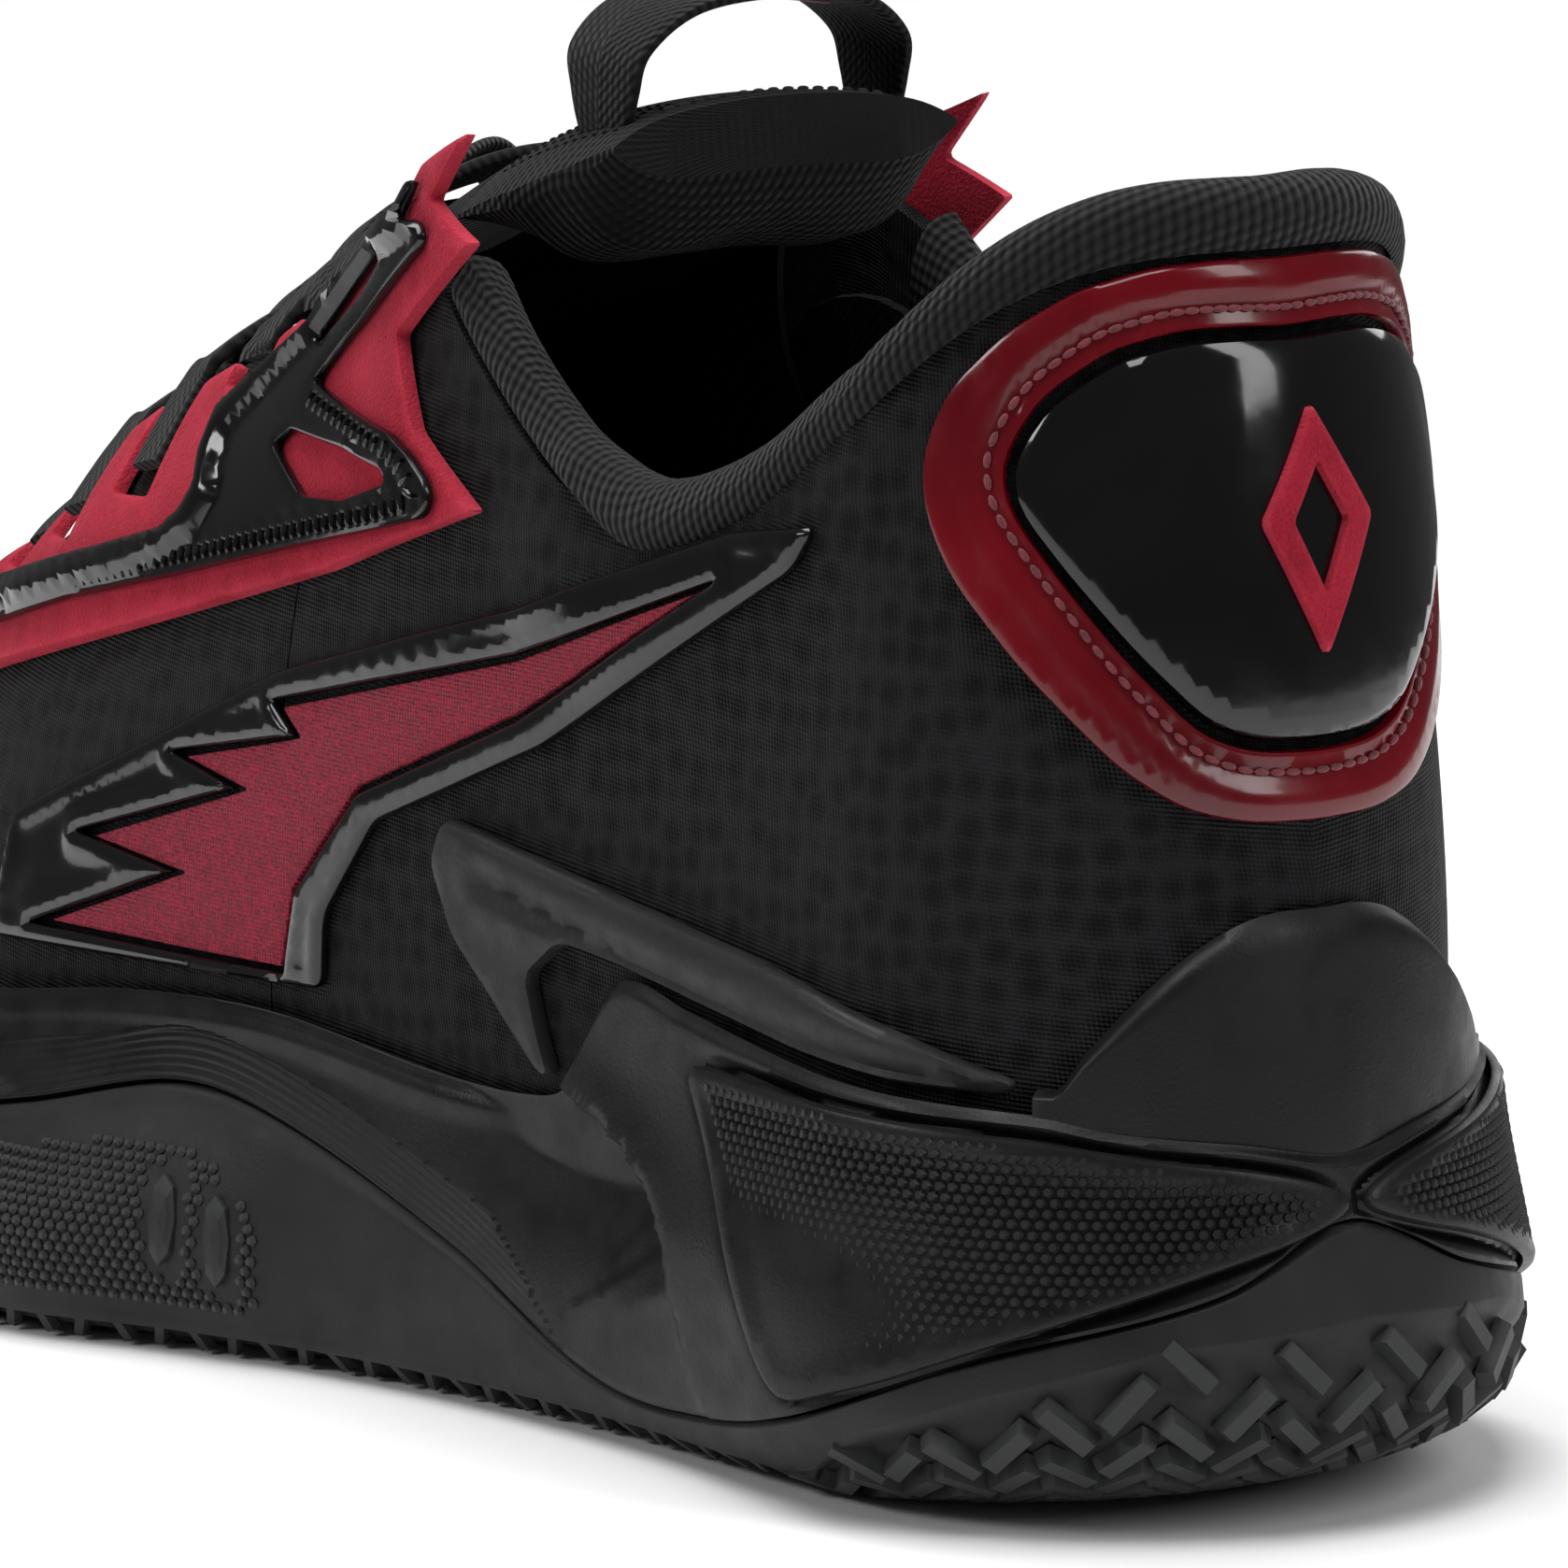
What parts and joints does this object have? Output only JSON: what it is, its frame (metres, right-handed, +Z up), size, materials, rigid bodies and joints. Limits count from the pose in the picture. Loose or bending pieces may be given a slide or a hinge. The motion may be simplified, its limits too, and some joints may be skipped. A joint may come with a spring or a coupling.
{
  "type": "basketball high top",
  "caption": "Left basketball shoe with a padded dipped collar, laced tongue with a pull loop, moulded foam cup sole and rubber outsole.",
  "frame": {"origin": "on the ground under the centre of the heel, on the flat heel tread", "axes": "+X towards the toe, +Y towards the outer side of the left foot, +Z up"},
  "size_m": [0.2972, 0.1179, 0.1421],
  "materials": {
    "outsole_rubber": "matte, fine dot texture",
    "midsole_foam": "satin moulded foam",
    "panel_rubber": "satin, hexagon texture",
    "lasting_board": "pressed fibre board",
    "sockliner_fabric": "brushed",
    "woven_upper": "embossed weave",
    "matte_film": "matte moulded film",
    "stiffener": "plain sheet",
    "lining_mesh": "brushed mesh",
    "collar_knit": "ribbed knit",
    "red_patent": "patent, over dark red",
    "badge_gloss": "high gloss dome",
    "mark_red": "satin",
    "tongue_fabric": "woven, perforated",
    "webbing": "flat woven strap",
    "red_suede": "sueded microfibre",
    "gloss_film": "high gloss moulded film",
    "red_glitter": "sparkling woven fabric",
    "lace": "flat braid"
  },
  "bodies": {
    "shoe": {"outsole": "outsole_rubber", "midsole": "midsole_foam", "heel_clip": "outsole_rubber", "heel_panel_outer": "panel_rubber", "heel_panel_inner": "panel_rubber", "lasting_board": "lasting_board", "sockliner": "sockliner_fabric", "quarter_outer": "woven_upper", "quarter_inner": "woven_upper", "vamp": "woven_upper", "toe_cap": "matte_film", "heel_stiffener": "stiffener", "lining": "lining_mesh", "collar_roll": "collar_knit", "eyestay_outer": "red_suede", "cage_outer": "gloss_film", "wing_outer": "matte_film", "blade_frame_outer": "gloss_film", "blade_inlay_outer": "red_glitter", "eyestay_inner": "red_suede", "cage_inner": "gloss_film", "wing_inner": "matte_film", "blade_frame_inner": "gloss_film", "blade_inlay_inner": "red_glitter", "heel_ring": "red_patent", "heel_badge": "badge_gloss", "badge_mark": "mark_red", "tongue_gusset": "tongue_fabric", "lace_row_1": "lace", "lace_row_2": "lace", "lace_row_3": "lace", "lace_row_4": "lace", "lace_row_5": "lace"},
    "tongue_top": {"tongue_pad": "tongue_fabric"},
    "loop": {"pull_loop": "webbing"}
  },
  "joints": [
    {"name": "tongue_fold", "type": "hinge", "parent": "shoe", "child": "tongue_top", "pos_m": [0.0808, 0, 0.1255], "axis": [0, 1, 0], "range_deg": [-10, 35], "stiffness_Nm_per_rad": 0.1},
    {"name": "loop_flop", "type": "hinge", "parent": "tongue_top", "child": "loop", "pos_m": [0.06, 0, 0.1322], "axis": [0, 1, 0], "range_deg": [-25, 25], "stiffness_Nm_per_rad": 0.005}
  ]
}
